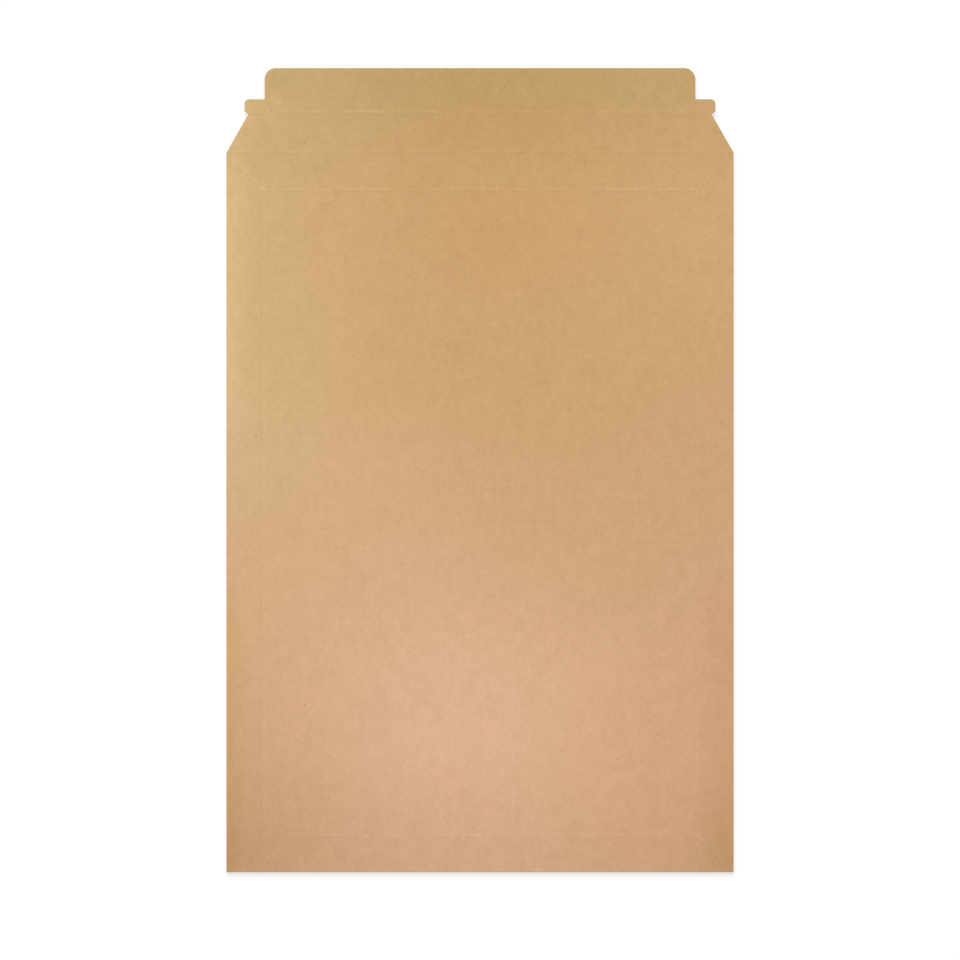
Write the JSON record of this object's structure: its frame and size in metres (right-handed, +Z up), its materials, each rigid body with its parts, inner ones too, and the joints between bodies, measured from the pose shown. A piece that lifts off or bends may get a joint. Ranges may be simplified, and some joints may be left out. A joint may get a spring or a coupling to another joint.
{
  "type": "expandable book mailer",
  "caption": "Flat, empty board mailer with an open closure flap: tapered shoulders, tear band with pull tabs and a glue lip; creased panels, glued side laps.",
  "frame": {"origin": "centre of the front panel's outer face, on which the mailer lies", "axes": "+X across the mailer to the right, +Y along it from the bottom fold to the flap, +Z up out of the back panel"},
  "size_m": [0.335, 0.5311, 0.0053],
  "materials": {
    "kraft_board": "matte",
    "tear_tape": "satin",
    "adhesive": "satin",
    "release_paper": "satin"
  },
  "bodies": {
    "pocket": {"pocket_board": "kraft_board"},
    "flap": {"closure_flap": "kraft_board", "tear_tape": "tear_tape", "adhesive_strip": "adhesive", "release_liner": "release_paper"}
  },
  "joints": [
    {"name": "flap_fold", "type": "hinge", "parent": "pocket", "child": "flap", "pos_m": [0, 0.238, 0.00121], "axis": [-1, 0, 0], "range_deg": [0, 180]}
  ]
}
